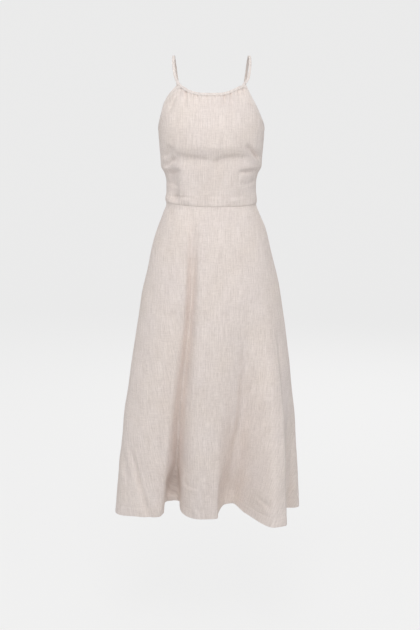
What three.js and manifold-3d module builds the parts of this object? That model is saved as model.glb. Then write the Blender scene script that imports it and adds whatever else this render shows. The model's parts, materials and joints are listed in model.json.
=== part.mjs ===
// Midi sundress in oat linen, worn shape: round gathered neck on narrow shoulder straps, fitted
// darted bodice, waist seam and a flared skirt that falls in large folds. It is empty inside.
//
// Frame: millimetres, +Z up, the wearer faces -Y, and +X is on the right seen from the front.
// The origin is midway between the two strap crowns, where the shoulders carry the dress.
// Two numbers place every point of the cloth. "turn" is degrees round the body, 0 at the centre
// front, 90 at the +X side and 180 at the centre back. "drop" is how far below the shoulders it is.
import * as THREE from "three";
import { mergeVertices } from "three/addons/utils/BufferGeometryUtils.js";
import Module from "manifold-3d";

// Driving dimensions
const CLOTH = 1.6; // wall of the linen, measured level
const SEAM_GAP = 0.3; // between two pieces at a seam, and under a piece that lies on another
const WAIST_DROP = 373; // waist seam, behind
const WAIST_DIP = 5; // how much lower the waist seam is at the centre front
const WAIST_TILT = 3; // how much lower it is at the +X side, and higher at the other
const HEM_DROP = 1205;
const SQUARENESS = 2.15; // exponent of the level sections: 2 is an ellipse
const FOLD_GROWTH = 1.35; // how a fold opens from its start to the hem: 1 is a straight cone
const STRAP_SEAT_TURN = { front: 41, back: 150 };
const STRAP_SEAT_HALF = 1.75; // degrees of flat edge on each side of a strap's end
const SIDE_TURN = 90; // side seams
const CASING_DEPTH = 12; // drawn-up channel along the neck
const BINDING_DEPTH = 7; // turned edge of the armholes and of the back
const STRAP = { width: 6.8, thick: 2.4, corner: 0.8 };

// Zip at the centre back: its tape reaches halfTurn to each side and no lower than the drop "lowest".
// The slider's middle is "below" the back's upper edge, its foot is a share of its width, and its
// rounded head starts at a share of its half height. The pull hangs by its bar from the slider's loop,
// which stands off the slider, and the pull's eye has some play to each side of the loop.
const ZIP = { halfTurn: 4.6, thick: 1, lowest: 570 };
const SLIDER = { width: 7, tall: 11, thick: 2.4, below: 9, foot: 0.6, head: 0.3 };
const LOOP = { inner: 1.4, outer: 2.5, width: 2.6, stand: 1.1 };
const PULL = { length: 22, width: 6.5, thick: 1, neck: 0.8, eye: 2.9, bar: 1.3, play: 0.4 };

// Number of mesh steps
const SKIRT_ROWS = 13;
const BODICE_ROWS = 11;
const STRAP_STEPS = 26;

// Names the columns of a table
function table(columns, rows) {
  return rows.map((row) => Object.fromEntries(columns.map((name, i) => [name, row[i]])));
}

// Level sections of the figure the dress was cut for: half the width, and the depth in front of
// and behind the side line. The step near 300 is the slack of the bodice tucked in above the waist.
const SECTIONS = table(["drop", "half", "front", "back"], [
  [50, 118, 62, 78],
  [102, 130, 84, 88],
  [140, 134, 102, 92],
  [185, 136, 118, 94],
  [225, 134, 120.5, 93],
  [260, 131, 107, 89],
  [278, 130, 104.5, 86],
  [301, 119.5, 101, 81],
  [322, 116, 97.5, 78],
  [345, 116.5, 94.5, 76],
  [362, 119, 94, 76],
  [378, 117, 92, 76],
  [400, 125, 96, 84],
  [440, 141, 104, 100],
  [505, 158, 113, 119],
  [630, 185, 121, 143],
  [760, 203, 123, 161],
  [960, 228, 119, 184],
  [1205, 245, 110, 202],
]);

// Folds of the skirt, a row for each line that a fold's crest, side or hollow follows down the cloth:
// its turn at the waist and at the hem, how far it stands out of the plain section at the hem, the
// drop where it starts, and how much its hem is lifted.
const FOLDS = table(["high", "low", "out", "start", "lift"], [
  [-90, -92, 9, 600, 3],
  [-72, -72, 20, 560, 0],
  [-46, -50, 8, 480, 0],
  [-19.5, -33.5, -14, 400, 3],
  [-12, -29, -90, 400, 20],
  [-11.4, -25, -82, 400, 21],
  [-10.8, -19, -52, 400, 7],
  [-10.3, -12, -24, 410, 2],
  [-9.6, -6, -12, 420, 0],
  [3, 3, -22, 440, 2],
  [26, 9.5, -88, 640, 20],
  [38, 14, -92, 600, 22],
  [46, 22, -42, 600, 8],
  [56, 35, 62, 620, 0],
  [62, 43, 58, 640, 0],
  [67, 51, -2, 720, 3],
  [72, 67, -42, 780, 6],
  [81, 79, -38, 780, 6],
  [94, 94, -5, 620, 4],
  [118, 117, -44, 640, 10],
  [138, 139, 26, 590, 0],
  [160, 162, -50, 560, 14],
  [182, 184, 24, 520, 2],
  [205, 207, -48, 560, 14],
  [228, 230, 26, 590, 0],
  [250, 250, -36, 640, 10],
]);

// Upper edge of the bodice: round neck, strap seat, armhole, side seam and low back, as drops on the
// -X and +X sides. The +X armhole is cut in a little further.
const TOP_EDGE = table(["turn", "left", "right"], [
  [0, 95, 95],
  [10, 94.6, 94.4],
  [16, 92.8, 91.8],
  [22, 89, 87.4],
  [26, 86, 84],
  [31, 80.3, 79.6],
  [35, 77.4, 77.2],
  [39.25, 76.5, 76.5],
  [42.75, 76.5, 76.5],
  [46, 81.5, 90],
  [50, 89, 105],
  [55, 98.5, 120],
  [60, 109.5, 133.5],
  [65, 122.5, 146],
  [70, 143, 156.5],
  [80, 169, 172],
  [90, 184, 184],
  [110, 190, 190],
  [148.25, 196, 196],
  [151.75, 196, 196],
  [180, 211, 211],
]);

// Middle lines of the straps, from the seat in front to the seat behind, with their ends square on
// the seats. The one on the +X side lies a little further out.
const STRAP_ROUTE = table(["right", "left", "y", "z"], [
  [84, -84, -55.9, -75.8],
  [84.3, -84.3, -55.4, -72.6],
  [91, -89.8, -49, -62],
  [96.3, -94.4, -40, -42],
  [98.2, -96.2, -23, -17],
  [97, -96, 0, -1.3],
  [95, -95, 30, -11],
  [90, -90, 57, -52],
  [82, -82, 75, -112],
  [75, -75, 81.2, -160],
  [71.5, -71.5, 81.6, -192],
  [71.4, -71.4, 81.6, -195.4],
]);

const MATERIALS = {
  linen: new THREE.MeshStandardMaterial({ color: 0xe3d8cd, roughness: 0.92, metalness: 0 }),
  edging: new THREE.MeshStandardMaterial({ color: 0xe0d5ca, roughness: 0.92, metalness: 0 }),
  zip_tape: new THREE.MeshStandardMaterial({ color: 0xd9cfc4, roughness: 0.85, metalness: 0 }),
  zip_metal: new THREE.MeshStandardMaterial({ color: 0xd6ccbf, roughness: 0.4, metalness: 0.3 }),
};

// Slope of a monotone cubic at row i, so that the curve never swings past its rows
function slopeAt(rows, key, column, i) {
  const steps = [i - 1, i].map((k) => {
    const [a, b] = [rows[k], rows[k + 1]];
    return a && b ? (b[column] - a[column]) / (b[key] - a[key]) : null;
  });
  const [before, after] = steps;
  if (before === null) return after;
  if (after === null) return before;
  return before * after <= 0 ? 0 : (2 * before * after) / (before + after);
}

// A column of a table at a position along its first column, on a monotone cubic through the rows
function readColumn(rows, key, column, at) {
  const last = rows.length - 2;
  const found = rows.findIndex((row) => row[key] > at);
  const i = found < 0 ? last : Math.min(Math.max(found - 1, 0), last);
  const [a, b] = [rows[i], rows[i + 1]];
  const span = b[key] - a[key];
  const t = THREE.MathUtils.clamp((at - a[key]) / span, 0, 1);
  const rise = b[column] - a[column];
  const [m0, m1] = [i, i + 1].map((k) => slopeAt(rows, key, column, k) * span);
  return a[column] + t * (m0 + t * (3 * rise - 2 * m0 - m1 + t * (m0 + m1 - 2 * rise)));
}

// Rows of the fold table as they are at one drop, carried once more past both ends of the ring.
// A fold opens from nothing at its start to its full depth at the hem.
function foldRows(drop) {
  const down = THREE.MathUtils.clamp((drop - WAIST_DROP) / (HEM_DROP - WAIST_DROP), 0, 1);
  const rows = FOLDS.map(({ high, low, out, start, lift }) => {
    const grown = Math.max((drop - start) / (HEM_DROP - start), 0) ** FOLD_GROWTH;
    return { turn: high + (low - high) * down, out: out * grown, lift };
  });
  const carried = (list, full) => list.map((row) => ({ ...row, turn: row.turn + full }));
  return [...carried(rows.slice(-3), -360), ...rows, ...carried(rows.slice(0, 3), 360)];
}

// A column of the fold table at a turn and drop
function readFold(column, turn, drop) {
  const first = FOLDS[0].high - 1;
  const at = THREE.MathUtils.euclideanModulo(turn - first, 360) + first;
  return readColumn(foldRows(drop), "turn", column, at);
}

function waistDrop(turn) {
  const angle = THREE.MathUtils.degToRad(turn);
  const facing = Math.max(Math.cos(angle), 0);
  return WAIST_DROP + WAIST_DIP * facing + WAIST_TILT * Math.sin(angle);
}

function hemDrop(turn) {
  return HEM_DROP - readFold("lift", turn, HEM_DROP);
}

function topDrop(turn) {
  const signed = turn > 180 ? turn - 360 : turn;
  return readColumn(TOP_EDGE, "turn", signed < 0 ? "left" : "right", Math.abs(signed));
}

// Point of the plain section at a turn and drop: two halves of a superellipse with one width
function sectionPoint(turn, drop) {
  const angle = THREE.MathUtils.degToRad(turn);
  const [across, along] = [Math.sin(angle), Math.cos(angle)];
  const depth = readColumn(SECTIONS, "drop", along > 0 ? "front" : "back", drop);
  const half = readColumn(SECTIONS, "drop", "half", drop);
  const bulge = (value) => Math.sign(value) * Math.abs(value) ** (2 / SQUARENESS);
  return new THREE.Vector3(half * bulge(across), -depth * bulge(along), -drop);
}

// Level direction that points straight out of a curve given as a function of turn
function outward(curve, turn) {
  const step = 0.2;
  const tangent = curve(turn + step).sub(curve(turn - step));
  return new THREE.Vector3(tangent.y, -tangent.x, 0).normalize();
}

// Outer face of the cloth: the plain section, with the skirt's folds standing out of it
function clothPoint(turn, drop) {
  const point = sectionPoint(turn, drop);
  if (drop <= WAIST_DROP) return point;
  const plain = (t) => sectionPoint(t, drop);
  return point.addScaledVector(outward(plain, turn), readFold("out", turn, drop));
}

// Cloth point moved off the outer face: inwards for a negative distance
function offsetPoint(turn, drop, distance) {
  const face = (t) => clothPoint(t, drop);
  return clothPoint(turn, drop).addScaledVector(outward(face, turn), distance);
}

// Values from a to b in equal steps, both ends included
function steps(a, b, count) {
  return Array.from({ length: count + 1 }, (_, i) => a + ((b - a) * i) / count);
}

// Joins stretches of equal steps end to end: each entry is [end, step count]
function stretches(start, ...entries) {
  const join = (list, [end, count]) => [...list, ...steps(list.at(-1), end, count).slice(1)];
  return entries.reduce(join, [start]);
}

// Closed wall between two offsets of the cloth. rowsAt gives the drops of one column from its upper
// edge down, and every column has as many.
function wall(turns, rowsAt, outer, inner) {
  const columns = turns.length;
  const rows = rowsAt(turns[0]).length;
  const faces = [outer, inner].flatMap((distance) =>
    turns.flatMap((turn) => rowsAt(turn).map((drop) => offsetPoint(turn, drop, distance))),
  );
  const at = (side, column, row) => (side * columns + column) * rows + row;
  const index = [];
  const quad = (a, b, c, d) => index.push(a, b, c, a, c, d);
  for (let c = 0; c + 1 < columns; c++) {
    for (let r = 0; r + 1 < rows; r++) {
      quad(at(0, c, r + 1), at(0, c + 1, r + 1), at(0, c + 1, r), at(0, c, r));
      quad(at(1, c, r + 1), at(1, c, r), at(1, c + 1, r), at(1, c + 1, r + 1));
    }
    quad(at(0, c, 0), at(0, c + 1, 0), at(1, c + 1, 0), at(1, c, 0));
    quad(at(1, c, rows - 1), at(1, c + 1, rows - 1), at(0, c + 1, rows - 1), at(0, c, rows - 1));
  }
  for (let r = 0; r + 1 < rows; r++) {
    quad(at(0, 0, r), at(1, 0, r), at(1, 0, r + 1), at(0, 0, r + 1));
    quad(at(0, columns - 1, r + 1), at(1, columns - 1, r + 1), at(1, columns - 1, r), at(0, columns - 1, r));
  }
  const geometry = new THREE.BufferGeometry().setFromPoints(faces).setIndex(index);
  geometry.computeVertexNormals();
  return geometry;
}

// Turn taken by half a seam gap at the sides of the waist and at its centre back
const SIDE_GAP = 0.064;
const BACK_GAP = 0.045;
const [SEAT_FRONT, SEAT_BACK] = [STRAP_SEAT_TURN.front, STRAP_SEAT_TURN.back];
const ARMHOLE_START = SEAT_FRONT + STRAP_SEAT_HALF;
const NECK_END = SEAT_FRONT - STRAP_SEAT_HALF;

// Columns of the panels. A piece that lies on a panel uses a stretch of the same columns.
const NECK_TURNS = steps(-NECK_END, NECK_END, 16);
const ARMHOLE_TURNS = steps(ARMHOLE_START, SIDE_TURN - SIDE_GAP, 7);
const BACK_TURNS = stretches(
  SIDE_TURN + SIDE_GAP,
  [SEAT_BACK - STRAP_SEAT_HALF, 6],
  [SEAT_BACK + STRAP_SEAT_HALF, 1],
  [180 - ZIP.halfTurn, 2],
  [180 - BACK_GAP, 1],
);
const SKIRT_BACK_TURNS = stretches(SIDE_TURN + SIDE_GAP, [180 - ZIP.halfTurn, 16], [180 - BACK_GAP, 1]);
const SKIRT_FRONT_TURNS = stretches(
  -SIDE_TURN + SIDE_GAP,
  [-36, 8],
  [12, 20],
  [60, 14],
  [SIDE_TURN - SIDE_GAP, 5],
);

// The same columns on the -X side, in order of growing turn
const mirrored = (turns, full = 0) => turns.map((turn) => full - turn).reverse();

// Depth of the band along the upper edge: the neck's channel in front, a turned edge elsewhere
function bandDepth(turn) {
  return Math.abs(turn) <= NECK_END + 1e-6 ? CASING_DEPTH : BINDING_DEPTH;
}

function bodiceDrops(turn) {
  const top = topDrop(turn);
  const bottom = waistDrop(turn) - SEAM_GAP / 2;
  return [top, ...steps(top + bandDepth(turn), bottom, BODICE_ROWS - 1)];
}

function skirtDrops(turn) {
  return steps(waistDrop(turn) + SEAM_GAP / 2, hemDrop(turn), SKIRT_ROWS);
}

// The zip's tape lies behind both back panels, so it uses the rows of both
function zipDrops(turn) {
  const below = skirtDrops(turn).filter((drop) => drop < ZIP.lowest);
  return [...bodiceDrops(turn), ...below];
}

const panel = (turns, rowsAt) => wall(turns, rowsAt, 0, -CLOTH);

// Strip of cloth on the outside of a panel's upper edge
function edging(turns) {
  const band = (turn) => bodiceDrops(turn).slice(0, 2);
  return wall(turns, band, SEAM_GAP + CLOTH, SEAM_GAP);
}

// Narrow turned tube of linen on its route, laid flat across the shoulder
function strap(side) {
  const { width, thick, corner } = STRAP;
  const [w, t] = [width / 2, thick / 2];
  const section = new THREE.Shape([
    [w, t - corner], [w - corner, t], [corner - w, t], [-w, t - corner],
    [-w, corner - t], [corner - w, -t], [w - corner, -t], [w, corner - t],
  ].map(([x, y]) => new THREE.Vector2(x, y)));
  const route = STRAP_ROUTE.map((row) => new THREE.Vector3(row[side], row.y, row.z));
  const extrudePath = new THREE.CatmullRomCurve3(route, false, "centripetal");
  return new THREE.ExtrudeGeometry(section, { steps: STRAP_STEPS, extrudePath, bevelEnabled: false });
}

const wasm = await Module();
wasm.setup();

function solidOf(geometry) {
  const bare = geometry.clone().deleteAttribute("normal").deleteAttribute("uv");
  const merged = mergeVertices(bare, 1e-4);
  const triVerts = new Uint32Array(merged.index.array);
  const vertProperties = merged.attributes.position.array;
  return new wasm.Manifold(new wasm.Mesh({ numProp: 3, vertProperties, triVerts }));
}

function geometryOf(solid) {
  const { vertProperties, triVerts } = solid.getMesh();
  const geometry = new THREE.BufferGeometry();
  geometry.setAttribute("position", new THREE.BufferAttribute(vertProperties, 3));
  return geometry.setIndex(new THREE.BufferAttribute(triVerts, 1));
}

// Middle of the zip's slider on the outside of the back, and the axis that the pull swings about
const SLIDER_DROP = topDrop(180) + SLIDER.below;
const ZIP_FACE = clothPoint(180, SLIDER_DROP).y + SEAM_GAP + CLOTH;
const SLIDER_FACE = ZIP_FACE + SEAM_GAP + SLIDER.thick;
const HINGE = new THREE.Vector3(0, SLIDER_FACE + LOOP.stand, -SLIDER_DROP);

// Rounded plate of the slider, in its own plane: x across, y up
function sliderPlate() {
  const [w, h] = [SLIDER.width / 2, SLIDER.tall / 2];
  const [foot, head] = [w * SLIDER.foot, h * SLIDER.head];
  const shape = new THREE.Shape();
  shape.moveTo(-foot, -h).lineTo(foot, -h).lineTo(w, head);
  shape.absarc(0, head, w, 0, Math.PI, false);
  const plate = new THREE.ExtrudeGeometry(shape, {
    depth: SLIDER.thick, bevelEnabled: false, curveSegments: 10,
  });
  plate.rotateX(Math.PI / 2);
  return plate.translate(0, HINGE.y - LOOP.stand, HINGE.z);
}

// Half ring on the slider round the pull's axis, with straight legs down to the plate.
// It is drawn with x standing out of the plate and y up, and then turned to face the back.
function sliderLoop() {
  const sunk = -LOOP.stand - SLIDER.thick / 2;
  const quarter = Math.PI / 2;
  const shape = new THREE.Shape();
  shape.moveTo(sunk, -LOOP.outer).lineTo(0, -LOOP.outer);
  shape.absarc(0, 0, LOOP.outer, -quarter, quarter, false);
  shape.lineTo(sunk, LOOP.outer).lineTo(sunk, LOOP.inner).lineTo(0, LOOP.inner);
  shape.absarc(0, 0, LOOP.inner, quarter, -quarter, true);
  shape.lineTo(sunk, -LOOP.inner);
  const loop = new THREE.ExtrudeGeometry(shape, {
    depth: LOOP.width, bevelEnabled: false, curveSegments: 8,
  });
  loop.translate(0, 0, -LOOP.width / 2);
  loop.rotateX(Math.PI / 2).rotateZ(Math.PI / 2);
  return loop.translate(HINGE.x, HINGE.y, HINGE.z);
}

// Flat drop-shaped pull that hangs by the bar above its eye
function zipPull() {
  const [w, top] = [PULL.width / 2, PULL.bar / 2];
  const neck = w * PULL.neck;
  const shape = new THREE.Shape();
  shape.moveTo(-neck, top).lineTo(-w, -PULL.length + w);
  shape.absarc(0, -PULL.length + w, w, Math.PI, 2 * Math.PI, false);
  shape.lineTo(neck, top);
  const eye = new THREE.Path();
  const eyeHalf = LOOP.width / 2 + PULL.play;
  eye.moveTo(-eyeHalf, -top).lineTo(eyeHalf, -top);
  eye.lineTo(eyeHalf, -top - PULL.eye).lineTo(-eyeHalf, -top - PULL.eye);
  shape.holes.push(eye);
  const pull = new THREE.ExtrudeGeometry(shape, {
    depth: PULL.thick, bevelEnabled: false, curveSegments: 8,
  });
  pull.translate(0, 0, -PULL.thick / 2).rotateX(Math.PI / 2);
  return pull.translate(HINGE.x, HINGE.y, HINGE.z);
}

const dress = new THREE.Group();

function add(name, geometry, material) {
  const mesh = new THREE.Mesh(geometry, MATERIALS[material]);
  mesh.name = name;
  dress.add(mesh);
}

// Bodice
const frontTurns = [...mirrored(ARMHOLE_TURNS), ...NECK_TURNS, ...ARMHOLE_TURNS];
add("bodice_front", panel(frontTurns, bodiceDrops), "linen");
add("bodice_back_right", panel(BACK_TURNS, bodiceDrops), "linen");
add("bodice_back_left", panel(mirrored(BACK_TURNS, 360), bodiceDrops), "linen");

// Neck channel, turned edges and straps
add("neck_casing", edging(NECK_TURNS), "edging");
add("armhole_edge_right", edging(ARMHOLE_TURNS), "edging");
add("armhole_edge_left", edging(mirrored(ARMHOLE_TURNS)), "edging");
add("back_edge_right", edging(BACK_TURNS), "edging");
add("back_edge_left", edging(mirrored(BACK_TURNS, 360)), "edging");
add("strap_right", strap("right"), "edging");
add("strap_left", strap("left"), "edging");

// Skirt
add("skirt_front", panel(SKIRT_FRONT_TURNS, skirtDrops), "linen");
add("skirt_back_right", panel(SKIRT_BACK_TURNS, skirtDrops), "linen");
add("skirt_back_left", panel(mirrored(SKIRT_BACK_TURNS, 360), skirtDrops), "linen");

// Closure at the centre back
const behind = -CLOTH - SEAM_GAP;
const tapeTurns = [180 - ZIP.halfTurn, 180 - BACK_GAP, 180 + BACK_GAP, 180 + ZIP.halfTurn];
add("zip_tape", wall(tapeTurns, zipDrops, behind, behind - ZIP.thick), "zip_tape");
add("zip_slider", geometryOf(solidOf(sliderPlate()).add(solidOf(sliderLoop()))), "zip_metal");
add("zip_pull", zipPull(), "zip_metal");

export default dress;
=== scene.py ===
# %% [markdown]
# # An oat linen sundress
# The frame that is loaded here holds the dress as plain solids at their real size. This lesson makes the
# cloth that is seen: panels with soft creases, a gathered neck, turned edges, straps, a zip and the weave.
# Lengths are in millimetres, as a dressmaker writes them, and `add_mesh` turns them into Blender's metres.

# %% Load the frame
import json

import bpy
import numpy as np
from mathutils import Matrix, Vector


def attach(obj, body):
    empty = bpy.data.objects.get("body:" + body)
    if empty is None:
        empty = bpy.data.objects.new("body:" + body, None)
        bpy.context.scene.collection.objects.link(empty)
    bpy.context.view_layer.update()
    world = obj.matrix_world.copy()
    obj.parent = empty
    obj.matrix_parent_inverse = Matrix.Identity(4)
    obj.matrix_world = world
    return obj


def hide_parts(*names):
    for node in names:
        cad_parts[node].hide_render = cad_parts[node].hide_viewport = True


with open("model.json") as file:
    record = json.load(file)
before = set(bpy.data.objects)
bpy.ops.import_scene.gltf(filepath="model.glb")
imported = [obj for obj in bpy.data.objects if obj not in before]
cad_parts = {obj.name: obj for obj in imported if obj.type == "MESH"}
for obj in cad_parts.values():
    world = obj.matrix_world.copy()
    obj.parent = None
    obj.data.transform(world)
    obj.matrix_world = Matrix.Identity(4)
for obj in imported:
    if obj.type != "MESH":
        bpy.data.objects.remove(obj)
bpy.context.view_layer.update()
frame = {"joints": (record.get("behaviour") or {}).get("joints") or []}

# %% [markdown]
# ## Reading a short table as a smooth curve
# A dress is easiest to describe by a few measured levels, as on a size chart. Blender could loft a curve
# through rings, but then every crease would have to be sculpted by hand. Here a table is read with a
# cubic that never swings past its rows, so a number changed in the table changes the cloth only there.


# %% Table reader
def cubic(t, start, climb, leave, arrive):
    """Cubic over t from 0 to 1: starts at a value, climbs so far, and leaves and arrives at two slopes."""
    return start + t * (leave + t * (3 * climb - 2 * leave - arrive + t * (leave + arrive - 2 * climb)))


def read_rows(places, values, at):
    """Value of a table at each place asked for.

    A cubic joins each row to the next. Its slope at a row is the harmonic mean of the slopes on both
    sides, or level where those disagree. A table has its rows along the first axis, with one number for
    all the places or one number for each of them.
    """
    at = np.asarray(at, float)

    def spread(rows):
        rows = np.asarray(rows, float)
        rows = rows.reshape(rows.shape + (1,) * (at.ndim + 1 - rows.ndim))
        return np.broadcast_to(rows, rows.shape[:1] + at.shape)

    places, values = spread(places), spread(values)
    rise = np.diff(values, axis=0) / np.diff(places, axis=0)
    agree = rise[:-1] * rise[1:] > 0
    mean = 2 * rise[:-1] * rise[1:] / np.where(agree, rise[:-1] + rise[1:], 1)
    slope = np.concatenate([rise[:1], np.where(agree, mean, 0), rise[-1:]])
    row = np.clip((places <= at).sum(axis=0) - 1, 0, len(places) - 2)[None]

    def pick(rows, step):
        return np.take_along_axis(rows, row + step, axis=0)[0]

    span = pick(places, 1) - pick(places, 0)
    t = np.clip((at - pick(places, 0)) / span, 0, 1)
    start, climb = pick(values, 0), pick(values, 1) - pick(values, 0)
    leave, arrive = pick(slope, 0) * span, pick(slope, 1) * span
    return cubic(t, start, climb, leave, arrive)


print("halfway between the rows 0 and 10:", read_rows([0, 1, 2], [0, 10, 20], 0.5))

# %% [markdown]
# ## Three curves that come back everywhere
# Cloth has no corners, so nothing below starts or stops at once. A step that eases in and out, a bell and a
# rounded power are enough for rolls, grooves, fades and outlines alike.


# %% Step, bell and rounded power
def ease(value):
    """Smooth step: 0 up to 0, 1 from 1 on, and 3t^2 - 2t^3 between."""
    t = np.clip(value, 0, 1)
    return t * t * (3 - 2 * t)


def bell(distance, half_width):
    """Bell curve: e to the power of minus (distance / half_width)^2, so 1 in the middle and 0 far away."""
    return np.exp(-((distance / half_width) ** 2))


def rounded(value, power):
    """Keeps the sign of a value and raises its size to a power."""
    return np.sign(value) * np.abs(value) ** power


print("a bell one half width away:", bell(1.0, 1.0).round(3))

# %% [markdown]
# ## The plain form under the folds
# Two numbers place every point of the cloth. `turn` is degrees round the dress, 0 at the centre front, 90
# at the +X side and 180 at the centre back; `drop` is how far below the top of the straps it is. Each level
# is two halves of a superellipse with one width, because a worn dress is a little squarer than an ellipse.

# %% Levels of the plain form
SQUARENESS = 2.15  # 2 would be an ellipse
LEVELS = np.array([  # drop, half width, depth in front, depth behind
    [50, 118, 62, 78],
    [102, 130, 84, 88],
    [140, 134, 102, 92],
    [185, 136, 118, 94],
    [225, 134, 120.5, 93],
    [260, 131, 107, 89],
    [278, 130, 104.5, 86],
    [301, 119.5, 101, 81],
    [322, 116, 97.5, 78],
    [345, 116.5, 94.5, 76],
    [362, 119, 94, 76],
    [378, 117, 92, 76],
    [400, 125, 96, 84],
    [440, 141, 104, 100],
    [505, 158, 113, 119],
    [630, 185, 121, 143],
    [760, 203, 123, 161],
    [960, 228, 119, 184],
    [1205, 245, 110, 202],
])


def plain_point(turn, drop):
    """Point of the plain form: x is half * rounded(sin turn) and y is -depth * rounded(cos turn).

    The power of both is 2 / SQUARENESS, and z is -drop.
    """
    turn, drop = np.broadcast_arrays(np.asarray(turn, float), np.asarray(drop, float))
    across, along = np.sin(np.radians(turn)), np.cos(np.radians(turn))
    drops, half, front, back = LEVELS.T
    depth = np.where(along > 0, read_rows(drops, front, drop), read_rows(drops, back, drop))
    x = read_rows(drops, half, drop) * rounded(across, 2 / SQUARENESS)
    return np.stack([x, -depth * rounded(along, 2 / SQUARENESS), -drop], axis=-1)


print("waist at drop 378, centre front:", plain_point(0, 378.0).round(1))

# %% Straight out of the form
ASIDE = 0.2  # degrees


def unit(vectors):
    """Vectors divided by their lengths."""
    return vectors / np.linalg.norm(vectors, axis=-1, keepdims=True)


def level_out(curve, turn, drop):
    """Level unit vector straight out of a curve round the dress, from a point ASIDE on each side."""
    ahead = curve(turn + ASIDE, drop) - curve(turn - ASIDE, drop)
    return unit(np.stack([ahead[..., 1], -ahead[..., 0], np.zeros(ahead.shape[:-1])], axis=-1))


print("straight out at the centre front:", level_out(plain_point, np.zeros(1), np.full(1, 378.0)).round(2))

# %% [markdown]
# ## The skirt's folds
# A flared skirt hangs in cones that open towards the hem. Cloth simulation would find folds of its own, but
# these have to be the ones in the picture, so each line that a crest or a hollow follows is a row: where
# it is at the waist and at the hem, how far it stands out there, where it starts and how it lifts the hem.

# %% Folds
WAIST_DROP, WAIST_DIP, WAIST_TILT, HEM_DROP = 373, 5, 3, 1205
FOLD_GROWTH = 1.35  # 1 would be a straight cone
FOLDS = np.array([  # turn at the waist, turn at the hem, out at the hem, drop of its start, lift of the hem
    [-90, -92, 9, 600, 3],
    [-72, -72, 20, 560, 0],
    [-46, -50, 8, 480, 0],
    [-19.5, -33.5, -14, 400, 3],
    [-12, -29, -90, 400, 20],
    [-11.4, -25, -82, 400, 21],
    [-10.8, -19, -52, 400, 7],
    [-10.3, -12, -24, 410, 2],
    [-9.6, -6, -12, 420, 0],
    [3, 3, -22, 440, 2],
    [26, 9.5, -88, 640, 20],
    [38, 14, -92, 600, 22],
    [46, 22, -42, 600, 8],
    [56, 35, 62, 620, 0],
    [62, 43, 58, 640, 0],
    [67, 51, -2, 720, 3],
    [72, 67, -42, 780, 6],
    [81, 79, -38, 780, 6],
    [94, 94, -5, 620, 4],
    [118, 117, -44, 640, 10],
    [138, 139, 26, 590, 0],
    [160, 162, -50, 560, 14],
    [182, 184, 24, 520, 2],
    [205, 207, -48, 560, 14],
    [228, 230, 26, 590, 0],
    [250, 250, -36, 640, 10],
])


def on_ring(turns, values, turn):
    """Reads a table that goes round the dress: three rows from each end are carried past the other end."""
    turns = np.concatenate([turns[-3:] - 360, turns, turns[:3] + 360])
    values = np.concatenate([values[-3:], values, values[:3]])
    first = FOLDS[0, 0] - 1
    return read_rows(turns, values, (turn - first) % 360 + first)


def cloth_point(turn, drop):
    """Outer face of the cloth: the plain form, moved level by how far the folds stand out.

    A fold's line runs evenly from its upper turn to its lower one, and it opens as the power FOLD_GROWTH
    of the way from its start to the hem.
    """
    turn, drop = np.broadcast_arrays(np.asarray(turn, float), np.asarray(drop, float))
    high, low, out, start, _ = FOLDS.T.reshape(5, -1, *[1] * drop.ndim)
    down = np.clip((drop - WAIST_DROP) / (HEM_DROP - WAIST_DROP), 0, 1)
    grown = np.maximum((drop - start) / (HEM_DROP - start), 0) ** FOLD_GROWTH
    stands = on_ring(high + (low - high) * down, out * grown, turn)
    return plain_point(turn, drop) + level_out(plain_point, turn, drop) * stands[..., None]


def waist_drop(turn):
    """Waist seam: lower at the centre front, and a little lower on the +X side."""
    angle = np.radians(turn)
    return WAIST_DROP + WAIST_DIP * np.maximum(np.cos(angle), 0) + WAIST_TILT * np.sin(angle)


HEM_LIFTS = [(-50, 5.5, 17), (-5, 4, 6)]  # turn, lift, half width


def hem_drop(turn):
    """Hem: lifted where its folds go in, and by the bell curves of HEM_LIFTS."""
    more = sum(lift * bell(turn - at, width) for at, lift, width in HEM_LIFTS)
    return HEM_DROP - on_ring(FOLDS[:, 1], FOLDS[:, 4], np.asarray(turn, float)) - more


print("hem drops, front:", hem_drop(np.array([-60, -26, 0, 10, 40])).round(0))

# %% [markdown]
# ## The upper edge
# One line runs round the top of the bodice: the round neck, the corner where a strap sits, the armhole,
# the side seam and the low back. It is a table of drops, with the armhole on the +X side cut in further.

# %% Upper edge
SEAT_TURN, SEAT_HALF = 41, 1.75  # corner under a strap, and half its width, in degrees
NECK_END = SEAT_TURN - SEAT_HALF
TOP_EDGE = np.array([  # turn, drop on the -X side, drop on the +X side
    [0, 95, 95],
    [10, 94.6, 94.4],
    [16, 92.8, 91.8],
    [22, 89, 87.4],
    [26, 86, 84],
    [31, 80.3, 79.6],
    [35, 77.4, 77.2],
    [39.25, 76.5, 76.5],
    [42.75, 76.5, 76.5],
    [46, 81.5, 90],
    [50, 89, 105],
    [55, 98.5, 120],
    [60, 109.5, 133.5],
    [65, 122.5, 146],
    [70, 143, 156.5],
    [80, 169, 172],
    [90, 184, 184],
    [110, 190, 190],
    [148.25, 196, 196],
    [151.75, 196, 196],
    [180, 211, 211],
])


def top_drop(turn):
    """Drop of the upper edge: the column of TOP_EDGE for that side, read at the size of the turn."""
    signed = (np.asarray(turn, float) + 180) % 360 - 180
    turns, left, right = TOP_EDGE.T
    side = np.abs(signed)
    return np.where(signed < 0, read_rows(turns, left, side), read_rows(turns, right, side))


print("neck edge, centre and corner:", top_drop(np.array([0.0, 41.0])))

# %% [markdown]
# ## Putting arrays into a mesh
# Every piece below is a grid of points, rows by columns. `from_pydata` takes them with the quads between
# neighbours, and a UV map in metres says where each point lay on the flat cut cloth, so that the weave can
# follow the grain. A grid may close on itself across its columns, as a tube does, and be capped.

# %% Mesh helpers
MM = 0.001


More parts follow.
